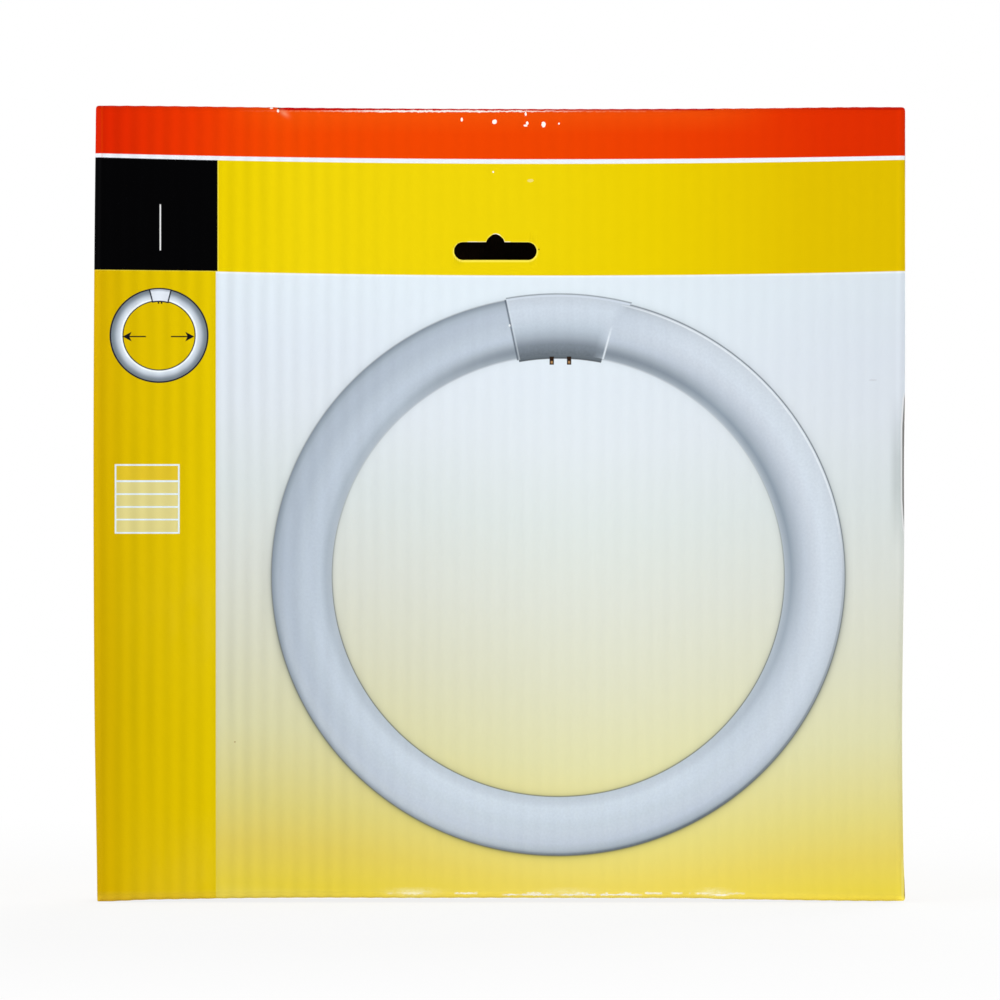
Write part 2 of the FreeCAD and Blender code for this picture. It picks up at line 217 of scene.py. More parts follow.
def low_left_lift(x):
    """How much further the bottom flap has risen at the left than the top flap has sunk."""
    fall = 1 - 0.48 * past_left_step(x) - 0.52 * smooth((x - LEFT_STEP) / 60)
    return LOW_LEFT_LIFT * smooth((x - LEFT - 1) / 22) * fall


def left_swell(z):
    """How far the left side bulges out at a height."""
    return BULGE * max(0, 1 - ((z - WIDEST_Z) / WIDEST_Z) ** 2)


def right_hollow(z):
    """How far the right side is pressed in, most in its lower part, with a small dent half way up."""
    ends = smooth((z + 6) / 26) * smooth((HEIGHT - z) / 40)
    hollow = HOLLOW * math.exp(-(((z - HOLLOW_Z) / HOLLOW_Z) ** 2)) * ends
    return hollow + DENT * math.exp(-(((z - DENT_Z) / DENT_REACH) ** 2))


def solid_dip(x):
    """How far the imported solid's outer flap has sunk at x, in straight runs."""
    if x <= SOLID_RUNS[0][0] or x >= SOLID_RUNS[-1][0]:
        return 0
    for (start, low), (end, high) in zip(SOLID_RUNS, SOLID_RUNS[1:]):
        if x <= end:
            return low + (high - low) * (x - start) / (end - start)


def solid_swell(z):
    """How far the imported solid's left side bulges at a height, in straight runs."""
    near = min(z, HEIGHT - z)
    return BULGE * (3 * near / HEIGHT if near < HEIGHT / 4 else 0.5 + near / HEIGHT)


def at_slot(point, across, up):
    """Whether a point is within a box round the hang slot."""
    return abs(point.x - SLOT_X) < across and abs(point.z - SLOT_Z) < up


def in_hollow(face):
    """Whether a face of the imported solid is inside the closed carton."""
    board, two_boards = BOARD - 0.1, 2 * BOARD + 0.5
    return all(
        LEFT - BULGE + board < v.co.x < RIGHT - board
        and two_boards < v.co.z < HEIGHT - two_boards
        and abs(v.co.y) < BACK - board
        for v in face.verts
    )


def region(face):
    """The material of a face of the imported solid: front print, wrapped print, raw edge or inside."""
    middle, normal = face.calc_center_median(), face.normal
    if at_slot(middle, 20, 10) and abs(normal.y) < 0.5:
        return RAW
    if in_hollow(face):
        return INSIDE
    if middle.y < FOLD_BACK + 0.5 and normal.y < 0.5:
        return PANEL
    from_side = min(middle.x - LEFT, RIGHT - middle.x)
    if abs(normal.x) > 0.9 and BOARD < from_side < 5:
        return RAW
    if abs(normal.y) > 0.9 and abs(middle.y) < BACK - 0.5:
        return RAW
    return WRAPPED


def front_part(face):
    """Which part of the front's print a face is in."""
    middle = face.calc_center_median()
    if middle.z > HEAD_FOOT:
        return HEAD
    if middle.x < COLUMN_SIDE:
        return COLUMN
    if RING_LEFT < middle.x < RING_RIGHT and middle.z > RING_FOOT:
        return RING
    return PANEL


def cut_across(bm, axis, places, wanted=None):
    """Cuts the wanted faces, or all of them, by planes across one axis."""
    normal = Vector((axis == "x", axis == "y", axis == "z"))
    for place in places:
        geom = [*bm.verts, *bm.edges, *bm.faces]
        if wanted:
            faces = [f for f in bm.faces if wanted(f)]
            geom = [*{v for f in faces for v in f.verts}, *{e for f in faces for e in f.edges}, *faces]
        bmesh.ops.bisect_plane(bm, geom=geom, plane_co=normal * place, plane_no=normal, dist=0.001)


def spread(low, high, step):
    """Places from low to high, a whole number of steps from zero."""
    first, last = math.ceil(low / step), math.floor(high / step)
    return [number * step for number in range(first, last + 1)]


def fold_levels():
    """Depths at which the front folds are cut, at even angles round each fold."""
    return [FOLD_BACK - CREASE * math.sin(math.radians(angle)) for angle in range(9, 90, 9)]


def near_corner(face):
    """Whether a face is by one of the front's four corners."""
    middle = face.calc_center_median()
    return any(
        abs(middle.x - x) < CORNER_REACH and abs(middle.z - z) < CORNER_REACH for x, z, radius in CORNERS
    )


def by_slot(index, across, up):
    """A test for faces of one material within a box round the hang slot."""
    return lambda face: face.material_index == index and at_slot(face.calc_center_median(), across, up)


def cut_for_detail(bm):
    """Cuts the large faces where the flutes, folds, corners, flap steps and parts of the print need it."""
    step = PITCH / SHARES
    slot_top = SLOT_Z + SLOT_TALL / 2
    levels = spread(8, HEIGHT - 8, 8) + [RING_FOOT, HEAD_FOOT]
    sides = spread(LEFT + CREASE + 0.1, RIGHT - CREASE - 0.1, step) + [COLUMN_SIDE, RING_LEFT, RING_RIGHT]
    cut_across(bm, "z", levels, lambda f: f.material_index in (PANEL, WRAPPED) and abs(f.normal.z) < 0.5)
    cut_across(bm, "z", spread(SLOT_Z - 7, SLOT_Z + 10, 1.25), by_slot(PANEL, 22, 12))
    cut_across(bm, "z", spread(slot_top, slot_top + HUMP_TALL, 0.625), by_slot(RAW, 6, 8))
    on_side = spread(-15, 15, step)
    cut_across(bm, "y", on_side, lambda f: f.material_index == WRAPPED and abs(f.normal.x) > 0.9)
    cut_across(bm, "y", fold_levels(), lambda f: f.material_index == PANEL and f.normal.y > -0.999)
    for inset in (0.4, 0.8, 1.3, 2.0):
        cut_across(bm, "x", [LEFT + inset, RIGHT - inset], near_corner)
        cut_across(bm, "z", [inset, HEIGHT - inset], near_corner)
    cut_across(bm, "x", sides + [x for x, depth in SOLID_RUNS])


def round_front_folds(bm):
    """Brings every point of the front folds onto the fold's true round."""
    reach = CREASE + 0.01
    for v in bm.verts:
        x, y, z = v.co
        if not FRONT - 0.001 < y < FOLD_BACK + 0.001:
            continue
        inset = CREASE - math.sqrt(max(CREASE**2 - (y - FOLD_BACK) ** 2, 0))
        near = min(reach, inset + 0.2)
        left, right = LEFT - solid_swell(z), RIGHT
        bottom, top = solid_dip(x), HEIGHT - solid_dip(x)
        if x - left < near:
            v.co.x = left + inset
        if right - x < near:
            v.co.x = right - inset
        if z - bottom < near:
            v.co.z = bottom + inset
        if top - z < near:
            v.co.z = top - inset


def round_hump(bm):
    """Fills out the flanks of the slot's hump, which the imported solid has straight."""
    for v in bm.verts:
        aside, above = v.co.x - SLOT_X, v.co.z - SLOT_Z - SLOT_TALL / 2
        on_flank = 0 < above < HUMP_TALL and 0.2 < abs(aside) < HUMP_REACH
        if on_flank and v.co.y < FOLD_BACK + 0.5:
            swell = HUMP_SWELL * math.sin(math.pi * above / HUMP_TALL)
            v.co.x += math.copysign(swell * smooth((HUMP_REACH - abs(aside)) / 3), aside)


def blunt_corners(bm):
    """Rounds off the front's corners, as wear has done."""
    for v in bm.verts:
        for x, z, radius in CORNERS:
            centre_x = x - math.copysign(radius, x)
            centre_z = z - math.copysign(radius, z - HEIGHT / 2)
            across, up = v.co.x - centre_x, v.co.z - centre_z
            outside = across * x > 0 and up * (z - HEIGHT / 2) > 0
            reach = math.hypot(across, up)
            if outside and reach > radius:
                v.co.x = centre_x + across * radius / reach
                v.co.z = centre_z + up * radius / reach


def follow_photo(bm):
    """Bows the solid's straight runs to the smooth outline that the photographed carton has."""
    for v in bm.verts:
        x, z = v.co.x, v.co.z
        up = (z - HEIGHT / 2) / (HEIGHT / 2)
        aside = x / (WIDTH / 2)
        top = TOP_MIDDLE_LIFT * middle_share(x) + TOP_INNER_LIFT * smooth((x + 145) / 45) - TOP_TILT * aside
        bottom = low_left_lift(x) + LOW_RIGHT_LIFT * smooth((x - 30) / 50)
        v.co.z += top * max(up, 0) + bottom * max(-up, 0) - (flap_dip(x) - solid_dip(x)) * up
        if aside < 0:
            trim = LOW_LEFT_TRIM * smooth((75 - z) / 60)
            v.co.x += (left_swell(z) - solid_swell(z) - trim) * aside
        else:
            v.co.x -= right_hollow(z) * aside**3


def flute_share(v):
    """How much of the flutes' relief shows: all on the sides, less by the folds, none at the slot."""
    if abs(v.normal.x) > 0.8:
        return 1
    if at_slot(v.co, 18.5, 7):
        return 0
    return smooth(min(v.co.x - LEFT, RIGHT - v.co.x) / 9)


def raise_flutes(bm):
    """The liner stands over each flute's tip, along the height of every panel."""
    bm.normal_update()
    moves = []
    for v in bm.verts:
        if all(face.material_index in (RAW, INSIDE) for face in v.link_faces):
            continue
        along = v.co.y if abs(v.normal.x) > 0.8 else v.co.x
        height = RELIEF * math.cos(2 * math.pi * along / PITCH)
        moves.append((v, v.normal * height * flute_share(v)))
    for v, move in moves:
        v.co += move


def flap_edge_faces(bm):
    """The free edges of the two outer flaps, one face for each step of the flutes."""
    found = []
    for face in bm.faces:
        middle = face.calc_center_median()
        from_end = min(middle.z, HEIGHT - middle.z)
        in_line = abs(middle.y - FLAP_EDGE) < 0.05 and OUTER_FLAP[0] < middle.x < OUTER_FLAP[1]
        if face.normal.y > 0.9 and in_line and from_end < BOARD + 1.6 and len(face.verts) == 4:
            found.append(face)
    return found


def cut_board(bm, low, high, at_end):
    """Splits one edge through the board where the liners and the wave between them begin and end."""
    swing = BOARD - 2 * LINER - MEDIUM
    lift = swing / 2 * (1 + math.cos(2 * math.pi * low.co.x / PITCH))
    gaps = (LINER, 0, BOARD - 2 * LINER, 0) if at_end else (LINER, lift, MEDIUM, swing - lift)
    foot, tip = low.co.copy(), high.co.copy()
    points, height = [low], 0
    for gap in gaps:
        height += gap
        if gap < GLUED:
            points.append(points[-1])
            continue
        edge = bm.edges.get((points[-1], high))
        point = bmesh.utils.edge_split(edge, points[-1], 0.5)[1]
        point.co = foot.lerp(tip, height / BOARD)
        points.append(point)
    return points + [high]


def open_flutes(bm):
    """Cuts the outer flaps' free edges into two liners and a wave, with open flutes between them."""
    faces = flap_edge_faces(bm)
    pairs = []
    for face in faces:
        ring = sorted(face.verts, key=lambda v: v.co.x)
        pairs.append([sorted(side, key=lambda v: v.co.z) for side in (ring[:2], ring[2:])])
    bounds = (min(p[0][0].co.x for p in pairs), max(p[1][0].co.x for p in pairs))
    columns, deep = {}, {}
    for low, high in [side for pair in pairs for side in pair]:
        if low not in columns:
            at_end = min(abs(low.co.x - bound) for bound in bounds) < 0.01
            columns[low] = cut_board(bm, low, high, at_end)
    bmesh.ops.delete(bm, geom=faces, context="FACES_ONLY")

    def behind(point):
        """The point at the back of a flute, made once for each point of the edge."""
        if point not in deep:
            deep[point] = bm.verts.new(point.co - Vector((0, FLUTE_DEPTH, 0)))
        return deep[point]

    def add(corners, index):
        """A face through the corners that differ, if there are three or more."""
        kept = [corner for number, corner in enumerate(corners) if corner is not corners[number - 1]]
        if len(kept) > 2:
            bm.faces.new(kept).material_index = index

    for (low_a, _), (low_b, _) in pairs:
        a, b = columns[low_a], columns[low_b]
        for level in range(5):
            corners = [b[level], a[level], a[level + 1], b[level + 1]]
            if level in (0, 2, 4):
                add(corners, RAW)
            elif corners[0] is not corners[3] or corners[1] is not corners[2]:
                back = [behind(corner) for corner in corners]
                add(back, INSIDE)
                add([corners[1], corners[0], back[0], back[1]], INSIDE)
                add([corners[3], corners[2], back[2], back[3]], INSIDE)
    bmesh.ops.delete(bm, geom=[edge for edge in bm.edges if not edge.link_faces], context="EDGES")


def build_carton():
    """The carton's mesh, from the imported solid, with its folds, flutes, wear and parts of the print."""
    bm = bmesh.new()
    bm.from_mesh(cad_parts["carton"].data)
    bmesh.ops.scale(bm, vec=(1 / MM, 1 / MM, 1 / MM), verts=bm.verts)
    bmesh.ops.remove_doubles(bm, verts=bm.verts, dist=0.002)
    bmesh.ops.dissolve_limit(bm, angle_limit=math.radians(0.1), verts=bm.verts, edges=bm.edges)
    for face in bm.faces:
        face.material_index = region(face)
    cut_for_detail(bm)
    for face in bm.faces:
        if face.material_index == PANEL:
            face.material_index = front_part(face)
    round_front_folds(bm)
    round_hump(bm)
    blunt_corners(bm)
    open_flutes(bm)
    follow_photo(bm)
    raise_flutes(bm)
    bmesh.ops.triangulate(bm, faces=[face for face in bm.faces if len(face.verts) > 4])
    bmesh.ops.scale(bm, vec=(MM, MM, MM), verts=bm.verts)
    mesh = bpy.data.meshes.new("printed_carton")
    bm.to_mesh(mesh)
    bm.free()
    mesh.shade_smooth()
    mesh.set_sharp_from_angle(angle=math.radians(35))
    carton = bpy.data.objects.new("printed_carton", mesh)
    bpy.context.scene.collection.objects.link(carton)
    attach(carton, "root")
    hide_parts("carton")
    return carton


def linear(red, green, blue):
    """A printed colour, given as it looks on a screen, in the numbers that a shader takes."""
    parts = []
    for part in (red, green, blue):
        share = part / 255
        parts.append(share / 12.92 if share <= 0.04045 else ((share + 0.055) / 1.055) ** 2.4)
    return (*parts, 1.0)


class Field:
    """A number that varies over a surface. Sums of fields add math nodes to the material."""

    def __init__(self, tree, socket):
        self.tree, self.socket = tree, socket

    def math(self, operation, *others, clamp=False):
        node = self.tree.nodes.new("ShaderNodeMath")
        node.operation, node.use_clamp = operation, clamp
        for slot, value in zip(node.inputs, (self, *others)):
            if isinstance(value, Field):
                self.tree.links.new(value.socket, slot)
            else:
                slot.default_value = value
        return Field(self.tree, node.outputs[0])

    def __add__(self, other):
        return self.math("ADD", other)

    def __sub__(self, other):
        return self.math("SUBTRACT", other)

    def __rsub__(self, other):
        return (self * -1) + other

    def __mul__(self, other):
        return self.math("MULTIPLY", other)

    def __truediv__(self, other):
        return self.math("DIVIDE", other)

    def __abs__(self):
        return self.math("ABSOLUTE")

    def over(self, level, soft=0.25):
        """1 where the field is above a level, 0 where it is below, with an edge this wide."""
        return ((self - level) * (1 / soft)).math("ADD", 0.5, clamp=True)

    def under(self, level, soft=0.25):
        """1 where the field is below a level, 0 where it is above, with an edge this wide."""
        return ((self - level) * (-1 / soft)).math("ADD", 0.5, clamp=True)

    def between(self, low, high, soft=0.25):
        """1 from low to high and 0 outside, with edges this wide."""
        return self.over(low, soft) * self.under(high, soft)

    def near(self, middle, width):
        """A bell round a level: 1 there, and almost 0 at one width and a half away."""
        away = (self - middle) / width
        return (away * away * -1).math("EXPONENT")


def either(*masks):
    """1 where any of the masks is 1."""
    found = masks[0]
    for mask in masks[1:]:
        found = found.math("MAXIMUM", mask)
    return found


def distance(across, up):
    """How far a point is from where both fields are 0."""
    return (across * across + up * up).math("SQRT")


class Print:
    """The layers of one surface's print, from the lowest up, and its position in millimetres."""

    def __init__(self, name):
        self.material = bpy.data.materials.new(name)
        self.material.use_nodes = True
        self.tree = self.material.node_tree
        self.shader = self.tree.nodes["Principled BSDF"]
        place = self.tree.nodes.new("ShaderNodeTexCoord").outputs["Object"]
        scaled = self.tree.nodes.new("ShaderNodeVectorMath")
        scaled.operation = "SCALE"
        scaled.inputs["Scale"].default_value = 1 / MM
        self.tree.links.new(place, scaled.inputs[0])
        self.place = scaled.outputs[0]
        parts = self.tree.nodes.new("ShaderNodeSeparateXYZ")
        self.tree.links.new(self.place, parts.inputs[0])
        self.x = Field(self.tree, parts.outputs["X"])
        self.z = Field(self.tree, parts.outputs["Z"])
        self.color = None

    def ramp(self, field, shades):
        """A colour that follows a field from 0 to 1 through its shades."""
        node = self.tree.nodes.new("ShaderNodeValToRGB")
        elements = node.color_ramp.elements
        while len(elements) < len(shades):
            elements.new(0.5)
        for element, (place, color) in zip(elements, shades):
            element.position, element.color = place, linear(*color)
        self.tree.links.new(field.socket, node.inputs[0])
        return node.outputs[0]

    def ramp_across(self, shades):
        """A colour that follows its shades from the front's left side to its right side."""
        return self.ramp((self.x - PRINT_LEFT) / PRINT_WIDE, shades)

    def lay(self, mask, color, blend="MIX"):
        """Puts a colour over what is already printed, where the mask is 1."""
        node = self.tree.nodes.new("ShaderNodeMix")
        node.data_type, node.blend_type = "RGBA", blend
        factor, base, top = node.inputs[0], node.inputs[6], node.inputs[7]
        self.tree.links.new(mask.socket, factor)
        self.tree.links.new(self.color, base)
        if isinstance(color, tuple):
            top.default_value = linear(*color)
        else:
            self.tree.links.new(color, top)
        self.color = node.outputs[2]

    def noise(self, size, detail=3.0, stretch=(1, 1, 1), seed=0.0):
        """A cloudy field from 0 to 1, with spots of about this size in millimetres."""
        mapping = self.tree.nodes.new("ShaderNodeMapping")
        mapping.inputs["Scale"].default_value = [share / size for share in stretch]
        mapping.inputs["Location"].default_value = (seed, seed * 0.7, seed * 1.3)
        self.tree.links.new(self.place, mapping.inputs[0])
        node = self.tree.nodes.new("ShaderNodeTexNoise")
        node.inputs["Scale"].default_value = 1.0
        node.inputs["Detail"].default_value = detail
        self.tree.links.new(mapping.outputs[0], node.inputs["Vector"])
        return Field(self.tree, node.outputs["Fac"])

    def finish(self, roughness, specular, height, depth):
        """Sends the colour to the shader, with its gloss and a fine relief in millimetres."""
        self.tree.links.new(self.color, self.shader.inputs["Base Color"])
        self.shader.inputs["Specular IOR Level"].default_value = specular
        self.shader.inputs["Roughness"].default_value = roughness
        bump = self.tree.nodes.new("ShaderNodeBump")
        bump.inputs["Distance"].default_value = depth * MM
        self.tree.links.new(height.socket, bump.inputs["Height"])
        self.tree.links.new(bump.outputs[0], self.shader.inputs["Normal"])
        return self.material


def above_line(p, line):
    """How far a point is above a printed line that is lowest a little right of the middle."""
    height, bend = line
    aside = p.x - LINE_LOW_X
    return p.z - height - aside * aside * bend


def from_ring(p, x, z, squash):
    """The distances across, up and straight from the middle of a drawn ring, with its height evened out."""
    across, up = p.x - x, (p.z - z) * squash
    return across, up, distance(across, up)


def spots(p, places, ragged=0.0):
    """Small spots at these places, with edges as ragged as the field makes them."""
    found = []
    for x, z, wide, tall in places:
        across, up = (p.x - x) / wide, (p.z - z) / tall
        found.append((across * across + up * up + ragged * 1.6).under(1.0, 0.35))
    return either(*found)


def paper_noise(p):
    """The fine grain along which the print cracks."""
    return p.noise(1.4, 3.0, (1, 1, 1.6), 9.0)


def lay_panel(p):
    """The pale panel, from bluish white at the top to yellow at the bottom, with painted light: palest
    right of the middle, brighter low on the right, darker at the upper right.
    """
    middle = p.x.near(40, 85)
    down = (250.0 - p.z - middle * 18 - p.x.over(110, 80) * 4) / 250.0
    p.color = p.ramp(down, PANEL_SHADES)
    # Painted sheen: brighter in a broad band right of the middle and low on the right; painted shade
    # darkens the upper right
    p.lay(middle * (down * 0.95 + 0.1), (272, 272, 264), "MULTIPLY")
    p.lay(p.x.over(70, 140) * down * 0.5, (266, 268, 270), "MULTIPLY")
    p.lay(p.x.over(95, 130) * p.z.over(150, 160), (244, 243, 243), "MULTIPLY")


def lay_header(p):
    """The orange header over its white line, with a painted paler sheen towards the top fold in the middle
    and a dark red line of painted shade along the fold.
    """
    header = p.ramp_across(HEADER_INK_AND_SHEEN)
    p.lay(above_line(p, WHITE_FOOT).over(0.0), (236, 241, 248))
    p.lay(above_line(p, HEADER_FOOT).over(0.0), header)
    # Painted highlight: paler orange towards the top fold, in the middle
    p.lay(p.z.over(305, 8) * p.x.between(-95, 95, 30) * 0.22, (246, 110, 24))
    # Painted shade: a dark red line along the top fold, and along its right end
    p.lay(p.z.over(310.45, 0.3) * p.x.between(-86.5, 84.2, 1), (205, 2, 0))
    p.lay(p.z.over(310.6, 0.3) * p.x.over(128, 40) * 0.6, (190, 0, 4))


def lay_block(p):
    """The black block over the column, with its one upright rule."""
    height = p.z - 246.15 + p.x * 0.011
    p.lay(p.x.under(-110.1) * height.over(-0.2) * 0.6, (250, 236, 90))
    p.lay(p.x.under(-110.5) * height.over(0.0), (2, 2, 3))
    p.lay(p.x.between(-133.2, -132.7) * p.z.between(255.5, 273.5), (236, 236, 236))


def lay_outline(p, away, strength, shade):
    """A dark line just outside a drawn edge, with a shade that fades over 2 mm."""
    p.lay((abs(away) * -1.0).math("EXPONENT") * shade, (96, 104, 112), "MULTIPLY")
    p.lay(away.between(-0.1, 0.4, 0.5) * strength, (92, 101, 110))


def lay_ring(p, across, rise, reach, share):
    """A ring lamp: a glass tube in three lights, by the side of the ring it is on."""
    side, up = across / reach, rise / reach
    low, lit = up.under(0.1, 0.8), (side + up).over(1.15, 0.3)
    lay_outline(p, reach - RING_OUTER, lit * 0.35 + 0.6, low * 0.5 + 0.33)
    lay_outline(p, RING_INNER - reach, low * 0.5 + 0.3, low * 0.3 + 0.19)
    on_tube = reach.between(RING_INNER, RING_OUTER)
    to_right = (side * 0.87 + up * 0.5).math("MAXIMUM", 0.0)
    to_left = (up * 0.5 - side * 0.87).math("MAXIMUM", 0.0)
    p.lay(on_tube, p.ramp(share, TUBE_LOW_SHADES))
    p.lay(on_tube * to_right, p.ramp(share, TUBE_RIGHT_SHADES))
    p.lay(on_tube * to_left, p.ramp(share, TUBE_LEFT_SHADES))
    p.lay(on_tube * up.over(0.86, 0.25) * share.near(0.12, 0.14) * 0.5, (60, 70, 80))
    low_left, low_right = side * -0.64 - up * 0.77, side * 0.64 - up * 0.77
    p.lay(on_tube * low_left.over(0.8, 0.4) * share.near(0.88, 0.1) * 0.5, (205, 214, 224))
    edge = reach.between(RING_OUTER - 0.8, RING_OUTER + 0.1, 0.5)
    p.lay(edge * low_right.over(0.7, 0.6) * 0.5, (60, 70, 80))
    rim = reach.between(RING_OUTER - 0.9, RING_OUTER - 0.35, 0.5)
    p.lay(rim * lit * 0.8, (240, 246, 252))


def lay_cap(p, across, rise, reach, share):
    """The lamp's end cap at the top of the ring, between a straight seam and a bent one."""
    inner, outer = RING_INNER, RING_OUTER
    left_seam = across + 20.5 + (rise - 111.3) * 0.205
    bend = (rise - 100.0).math("MAXIMUM", 0.0) * 0.59
    right_seam = across - 17.6 - (rise - 88.8) * 0.265 - bend
    above = rise.over(60.0)
    on_cap = left_seam.over(0.0) * right_seam.under(0.0) * above
    faded = left_seam.over(0.0) * right_seam.under(-2.0, 4.0) * above
    p.lay(faded * reach.between(inner, outer), p.ramp(share, CAP_SHADES))
    p.lay(on_cap * reach.between(outer - 0.1, outer + 0.9), (206, 216, 228))
    p.lay(on_cap * reach.between(inner - 1.0, inner + 0.1), (102, 111, 119))
    p.lay(on_cap * reach.between(outer + 0.8, outer + 1.3, 0.4) * 0.7, (92, 102, 112))
    p.lay(on_cap * reach.between(inner - 1.6, inner - 0.9, 0.3) * 0.9, (52, 60, 68))
    seam_reach = reach.between(inner - 0.8, outer + 0.6) * above
    p.lay(left_seam.between(-0.7, 0.0, 0.5) * seam_reach * 0.8, (74, 84, 96))
    p.lay(left_seam.between(0.1, 0.5, 0.5) * seam_reach * 0.5, (222, 230, 238))
    glint = right_seam.between(0.0, 0.7, 0.5) * reach.under(inner + 12, 5) * reach.over(inner)
    p.lay(glint * above * 0.85, (232, 240, 248))
    p.lay(spots(p, [CAP_GLINT]) * 0.9, (240, 244, 248))


def lay_pins(p, across, rise):
    """The lamp's two brass pins under its cap."""
    aside = abs(abs(across - 0.85) - 3.4)
    p.lay(aside.under(0.85) * rise.between(84.9, 88.2), (44, 30, 22))
    p.lay(aside.under(0.4) * rise.between(85.4, 86.4), (168, 128, 84))


def lay_small_ring(p, across, rise, reach):
    """The small drawing of the ring in the column, with its cap and pins."""
    share = (reach - SMALL_INNER) / (SMALL_OUTER - SMALL_INNER)
    line = (22, 28, 42)
    p.lay(reach.between(13.95, 19.42), line)
    p.lay(reach.between(14.38, 18.82), p.ramp(share, SMALL_TUBE_SHADES))
    seam = abs(across - 0.5) - rise * 0.232
    on_cap = seam.under(-0.4) * rise.over(0.0)
    p.lay(seam.under(0.15) * rise.over(0.0) * reach.between(13.65, 19.42), line)
    p.lay(on_cap * reach.between(14.2, 18.87), (226, 233, 243))
    p.lay(on_cap * reach.between(18.2, 18.95, 0.5) * 0.5, (130, 140, 152))
    pins = (abs(across - 0.38) - 0.62).between(-0.3, 0.3)
    p.lay(pins * rise.between(12.95, 13.9), (30, 22, 16))


def lay_arrows(p, across, rise):
    """Two arrows across the small ring, each with its head at the inside of the tube."""
    aside, away = abs(across + 0.235), abs(rise + 0.45)
    shaft = away.under(0.26) * aside.between(4.9, 12.2)
    head = (away - (13.9 - aside) * 0.55).under(0.1) * (aside + away * 0.45).over(11.4)
    p.lay(either(shaft, head), (16, 18, 24))


def lay_table(p):
    """A table of five rows between pale rules, in a pale frame."""
    inside = p.x.between(-150.8, -125.4) * p.z.between(144.4, 171.6)
    p.lay(inside, (221, 210, 138))
    p.lay(inside * p.z.over(165.0), (222, 192, 44))
    frame_line = 1.0 - p.x.between(-150.2, -126.0) * p.z.between(145.0, 171.0)
    rules = [p.z.between(164.6, 165.3)]
    for height in (159.9, 154.85, 149.9):
        rules.append(p.z.between(height - 0.3, height + 0.3))
    p.lay(inside * either(frame_line, *rules), (226, 241, 252))


def lay_top_wear(p):
    """White paper where the top fold has cracked the print, and small chips under it."""
    fine = paper_noise(p)
    ragged = fine - 0.5
    from_low = p.x - 10
    crease = p.z - 310.05 - from_low * from_low * 1.5e-5 + ragged * 1.1
    faded = (abs(crease) - 0.2).under(0.0, 0.5) * p.x.between(-88, 60, 30) * fine.over(0.44, 0.2)
    p.lay(faded * 0.6, (250, 150, 110))
    thick = 0.42 - abs(p.x + 28) * 0.005
    cracked = (abs(crease) - thick).under(0.0, 0.3) * p.x.between(-58, 22, 30)
    p.lay(cracked, (255, 246, 240))
    p.lay(spots(p, CHIPS, ragged), (255, 250, 244))
    beside = p.x + 84.4
    smear = beside.near(0.0, 1.6) * (p.z - 309.3 + beside * 0.5).near(0.0, 1.1)
    p.lay(smear * 0.45, (255, 180, 140))
    p.lay(spots(p, DARK_SPECKS, ragged) * 0.8, (96, 52, 20))
    p.lay(spots(p, [PALE_SPOT], ragged) * 0.35, (248, 240, 190))


def lay_slot_rim(p):
    """A pale yellow rim round the hang slot, with white paper torn up along its top."""
    radius = SLOT_TALL / 2
    aside, up = p.x - SLOT_X, p.z - SLOT_Z
    beyond = (abs(aside) - (SLOT_LONG / 2 - radius)).math("MAXIMUM", 0.0)
    from_slot = distance(beyond, up) - radius
    from_hump = distance(aside, up - radius - 0.05) - HUMP_TALL
    away = from_slot.math("MINIMUM", from_hump)
    p.lay(away.under(0.5, 0.45) * 0.75, (255, 240, 90))
    stretches = ((-12.4, -8.4, 1.0), (-8.6, -5.4, 0.6), (-2.4, 0.2, 1.0), (1.8, 4.2, 1.0))
    torn = either(*(p.x.between(start, end, 0.8) * strength for start, end, strength in stretches))
    p.lay(torn * up.over(3.0) * away.under(0.5, 0.3) * 0.95, (255, 253, 244))


def lay_low_wear(p):
    """White paper where the bottom fold has cracked the print, and soft pale patches along the fold."""
    fine = paper_noise(p)
    patches = p.noise(5, 2.0, (1, 1, 0.2), 5.0)
    from_high = p.x - 20
    crease = p.z - 2.75 + from_high * from_high * 1.5e-5 + (fine - 0.5) * 1.1
    stretches = ((2.2, 20.7), (24, 31.5), (33, 55), (83.5, 89.5))
    line = either(*(p.x.between(start, end, 3) for start, end in stretches))
    line = abs(crease).under(0.3, 0.25) * line * patches.over(0.34, 0.12)
    cracks = abs(crease - 0.6).under(0.32, 0.4) * patches.over(0.54, 0.08) * p.x.between(-42, 92, 30)
    p.lay(either(line, cracks * 0.85), (255, 254, 250))
    pale = p.x.near(-34, 8) + p.x.near(27, 8) * 0.6 + p.x.near(84, 5)
    band = abs(p.z - 3.6).under(1.2, 2.4)
    p.lay(band * pale * fine.over(0.4, 0.4) * 0.6, (254, 250, 214))


def lay_right_crush_and_shade(p):
    """The right fold, pressed in at half height: a grey band of painted shade and a dark gap of painted
    shadow beside a pale line of cracked print; low down, the raw brown edge with a painted highlight beside
    it.
    """
    band = p.z.between(150, 187, 26)
    # Painted shade: a grey band over the pressed-in part of the fold
    p.lay(p.x.over(154.0, 2.4) * band, (232, 233, 232), "MULTIPLY")
    lens = p.z.between(151, 193, 14)
    at_lens = lens.over(0.1, 0.2)
    fold = p.x - 159.0 + lens * 0.95
    # Painted shadow: a dark grey gap along the fold's edge, where the side behind it lies in shade
    p.lay(fold.over(0.0, 0.3) * at_lens, (136, 135, 133))
    p.lay(fold.between(-0.55, -0.1, 0.3) * at_lens * 0.8, (252, 252, 252))
    p.lay(spots(p, [GREY_SPOT]) * 0.4, (190, 194, 202))
    p.lay(p.x.over(158.9, 0.3) * p.z.between(1.5, 10, 2), (128, 90, 56))
    # Painted highlight: a pale yellow strip beside the raw edge, low down
    p.lay(p.x.between(157.8, 158.5, 0.5) * p.z.between(1, 18, 5) * 0.5, (255, 246, 150))


